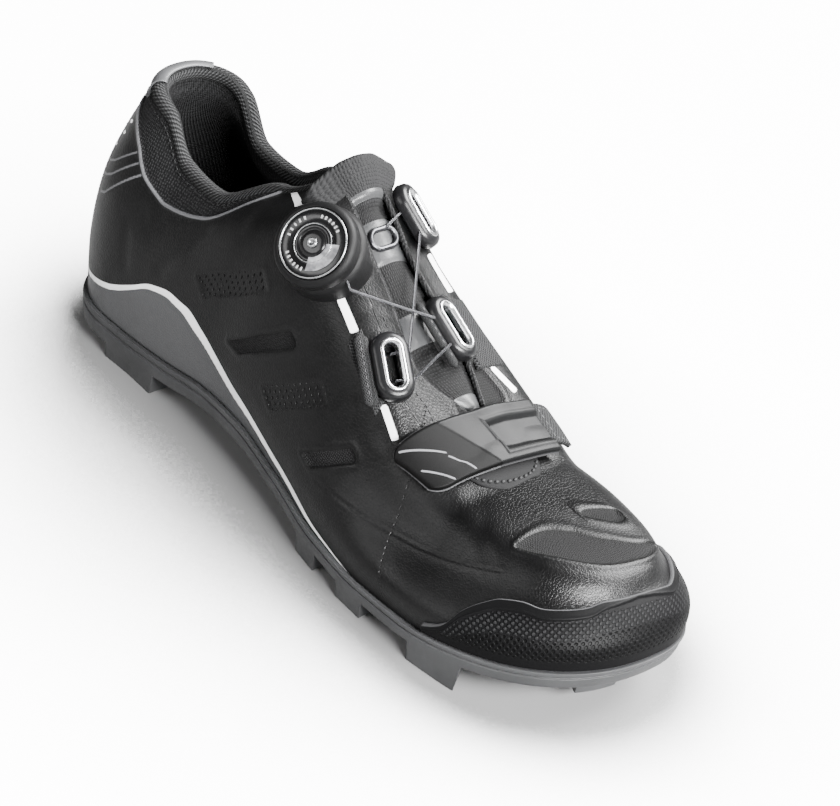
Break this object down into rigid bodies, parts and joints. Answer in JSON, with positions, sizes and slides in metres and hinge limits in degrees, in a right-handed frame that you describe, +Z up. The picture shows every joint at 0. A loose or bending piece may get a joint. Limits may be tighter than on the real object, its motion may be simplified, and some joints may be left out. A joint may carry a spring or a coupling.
{
  "type": "cycling shoe",
  "caption": "Right-foot trail cycling shoe: stiff lugged sole, padded collar, tongue, dial-wound steel cable through guides and a strap across the toes",
  "frame": {"origin": "centre of the bounding box on the floor under the lugs", "axes": "+X from heel to toe, +Y towards the inner side of the foot, +Z up"},
  "size_m": [0.2884, 0.1008, 0.1232],
  "materials": {
    "sole_rubber": "satin moulded",
    "upper_skin": "smooth coated microfibre with perforations",
    "insole_foam": "matt brushed",
    "tongue_mesh": "padded mesh",
    "bumper_rubber": "matt, dotted or ribbed",
    "grey_satin": "satin",
    "dial_plastic": "matt",
    "dial_metal": "polished",
    "guide_plastic": "gloss",
    "webbing": "woven",
    "strap_webbing": "woven",
    "strap_plastic": "satin",
    "cable_steel": "stranded",
    "keeper_metal": "dark plated"
  },
  "bodies": {
    "root": {"outsole": "sole_rubber", "upper": "upper_skin", "insole": "insole_foam", "tongue": "tongue_mesh", "toe_bumper": "bumper_rubber", "heel_strip": "bumper_rubber", "heel_tab": "grey_satin", "dial_base": "dial_plastic", "dial_knob": "dial_plastic", "dial_cap": "dial_metal", "guide_lateral": "guide_plastic", "guide_medial": "guide_plastic", "guide_top": "guide_plastic", "webbing_lateral": "webbing", "webbing_medial": "webbing", "strap": "strap_webbing", "strap_plate": "strap_plastic", "cable_cross": "cable_steel", "cable_bar": "cable_steel", "tongue_keeper": "keeper_metal"}
  },
  "joints": []
}
